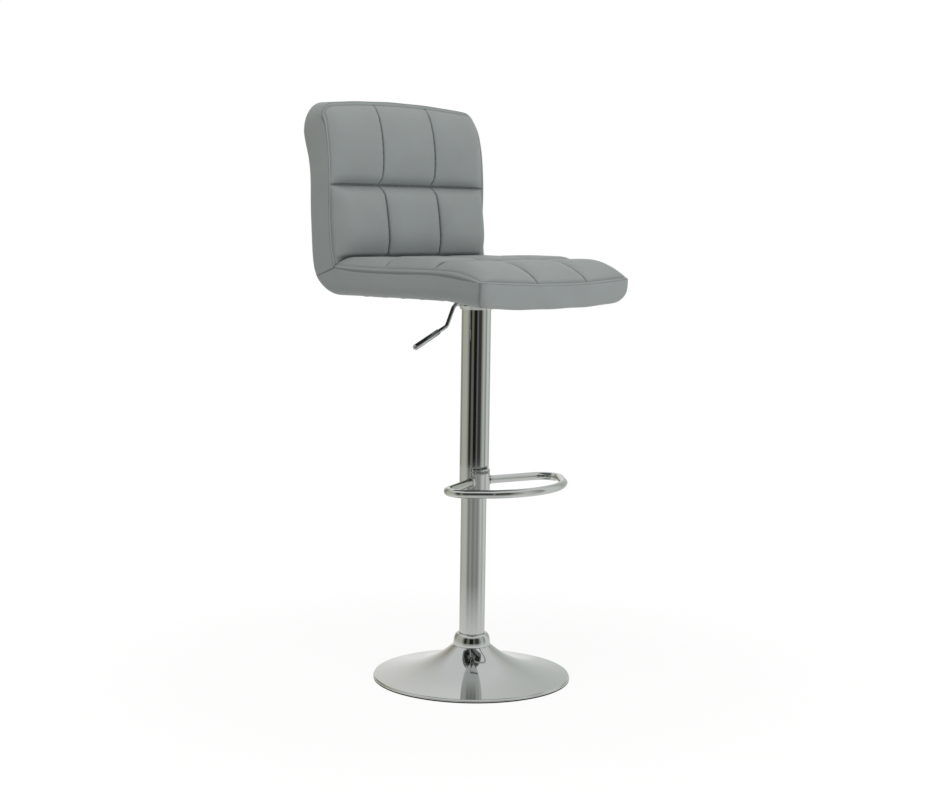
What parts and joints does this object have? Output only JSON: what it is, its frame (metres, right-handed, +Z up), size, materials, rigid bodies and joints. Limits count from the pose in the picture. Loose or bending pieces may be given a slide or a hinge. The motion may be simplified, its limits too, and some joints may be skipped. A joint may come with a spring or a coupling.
{
  "type": "bar stool",
  "caption": "Height-adjustable swivel bar stool with a quilted low-back seat, a gas-lift column, a looped footrest and a round trumpet base.",
  "frame": {"origin": "centre of the round base on the floor plane", "axes": "+Z up along the column, the seat faces -Y, the release lever is on -X, the right hand of the person seated"},
  "size_m": [0.44, 0.4823, 1.1211],
  "materials": {
    "chrome": "polished chrome plating",
    "rubber": "matt black rubber",
    "ballast": "black painted casting",
    "bare_steel": "bare machined and pressed steel",
    "zinc": "zinc plated",
    "bush_plastic": "moulded black plastic",
    "brass": "stamped brass",
    "black_paint": "satin black paint",
    "plywood": "bare moulded plywood",
    "upholstery": "grey imitation leather, fine grain, soft sheen",
    "dust_cloth": "thin black non-woven cloth"
  },
  "bodies": {
    "stand": {"base_dish": "chrome", "base_edge_ring": "rubber", "base_weight": "ballast", "column_flange": "bare_steel", "base_bolts": "zinc", "column_tube": "chrome", "column_trim_ring": "chrome", "column_guide_bush": "bush_plastic", "bearing_lower_race": "bare_steel"},
    "bearing": {"bearing_cage": "brass", "bearing_balls": "bare_steel"},
    "spindle": {"bearing_upper_race": "bare_steel", "rubber_buffer": "rubber", "piston_rod": "bare_steel", "rod_clip": "bare_steel", "piston_head": "bush_plastic"},
    "seat": {"gas_cylinder": "black_paint", "rod_guide": "bush_plastic", "cylinder_socket": "bare_steel", "mechanism_cup": "chrome", "seat_plate": "bare_steel", "lever_ears": "bare_steel", "lever_pivot_pin": "bare_steel", "seat_bolts": "zinc", "bolt_washers": "zinc", "t_nuts": "zinc", "sleeve_tube": "chrome", "sleeve_glide_bush": "bush_plastic", "footrest_saddle": "chrome", "footrest_loop": "chrome", "plywood_shell": "plywood", "seat_cushion": "upholstery", "back_cushion": "upholstery", "dust_cover": "dust_cloth", "dust_cover_staples": "zinc"},
    "lever": {"lever_rod": "chrome", "lever_grip": "chrome"},
    "pin": {"release_pin": "bare_steel"}
  },
  "joints": [
    {"name": "swivel", "type": "hinge", "parent": "stand", "child": "spindle", "pos_m": [0, 0, 0.028], "axis": [0, 0, 1], "continuous": true},
    {"name": "bearing_roll", "type": "hinge", "parent": "stand", "child": "bearing", "pos_m": [0, 0, 0.028], "axis": [0, 0, 1], "continuous": true},
    {"name": "lift", "type": "slide", "parent": "spindle", "child": "seat", "axis": [0, 0, 1], "range_m": [-0.215, 0]},
    {"name": "release", "type": "hinge", "parent": "seat", "child": "lever", "pos_m": [-0.028, 0, 0.73408], "axis": [0, 1, 0], "range_deg": [0, 8], "stiffness_Nm_per_rad": 4, "springref_deg": -3.44},
    {"name": "pin_travel", "type": "slide", "parent": "seat", "child": "pin", "axis": [0, 0, -1], "range_m": [0, 0.0042]}
  ],
  "couplings": [
    {"joint": "bearing_roll", "follows": "swivel", "ratio": 0.5},
    {"joint": "pin_travel", "follows": "release", "m_per_rad": 0.03}
  ]
}
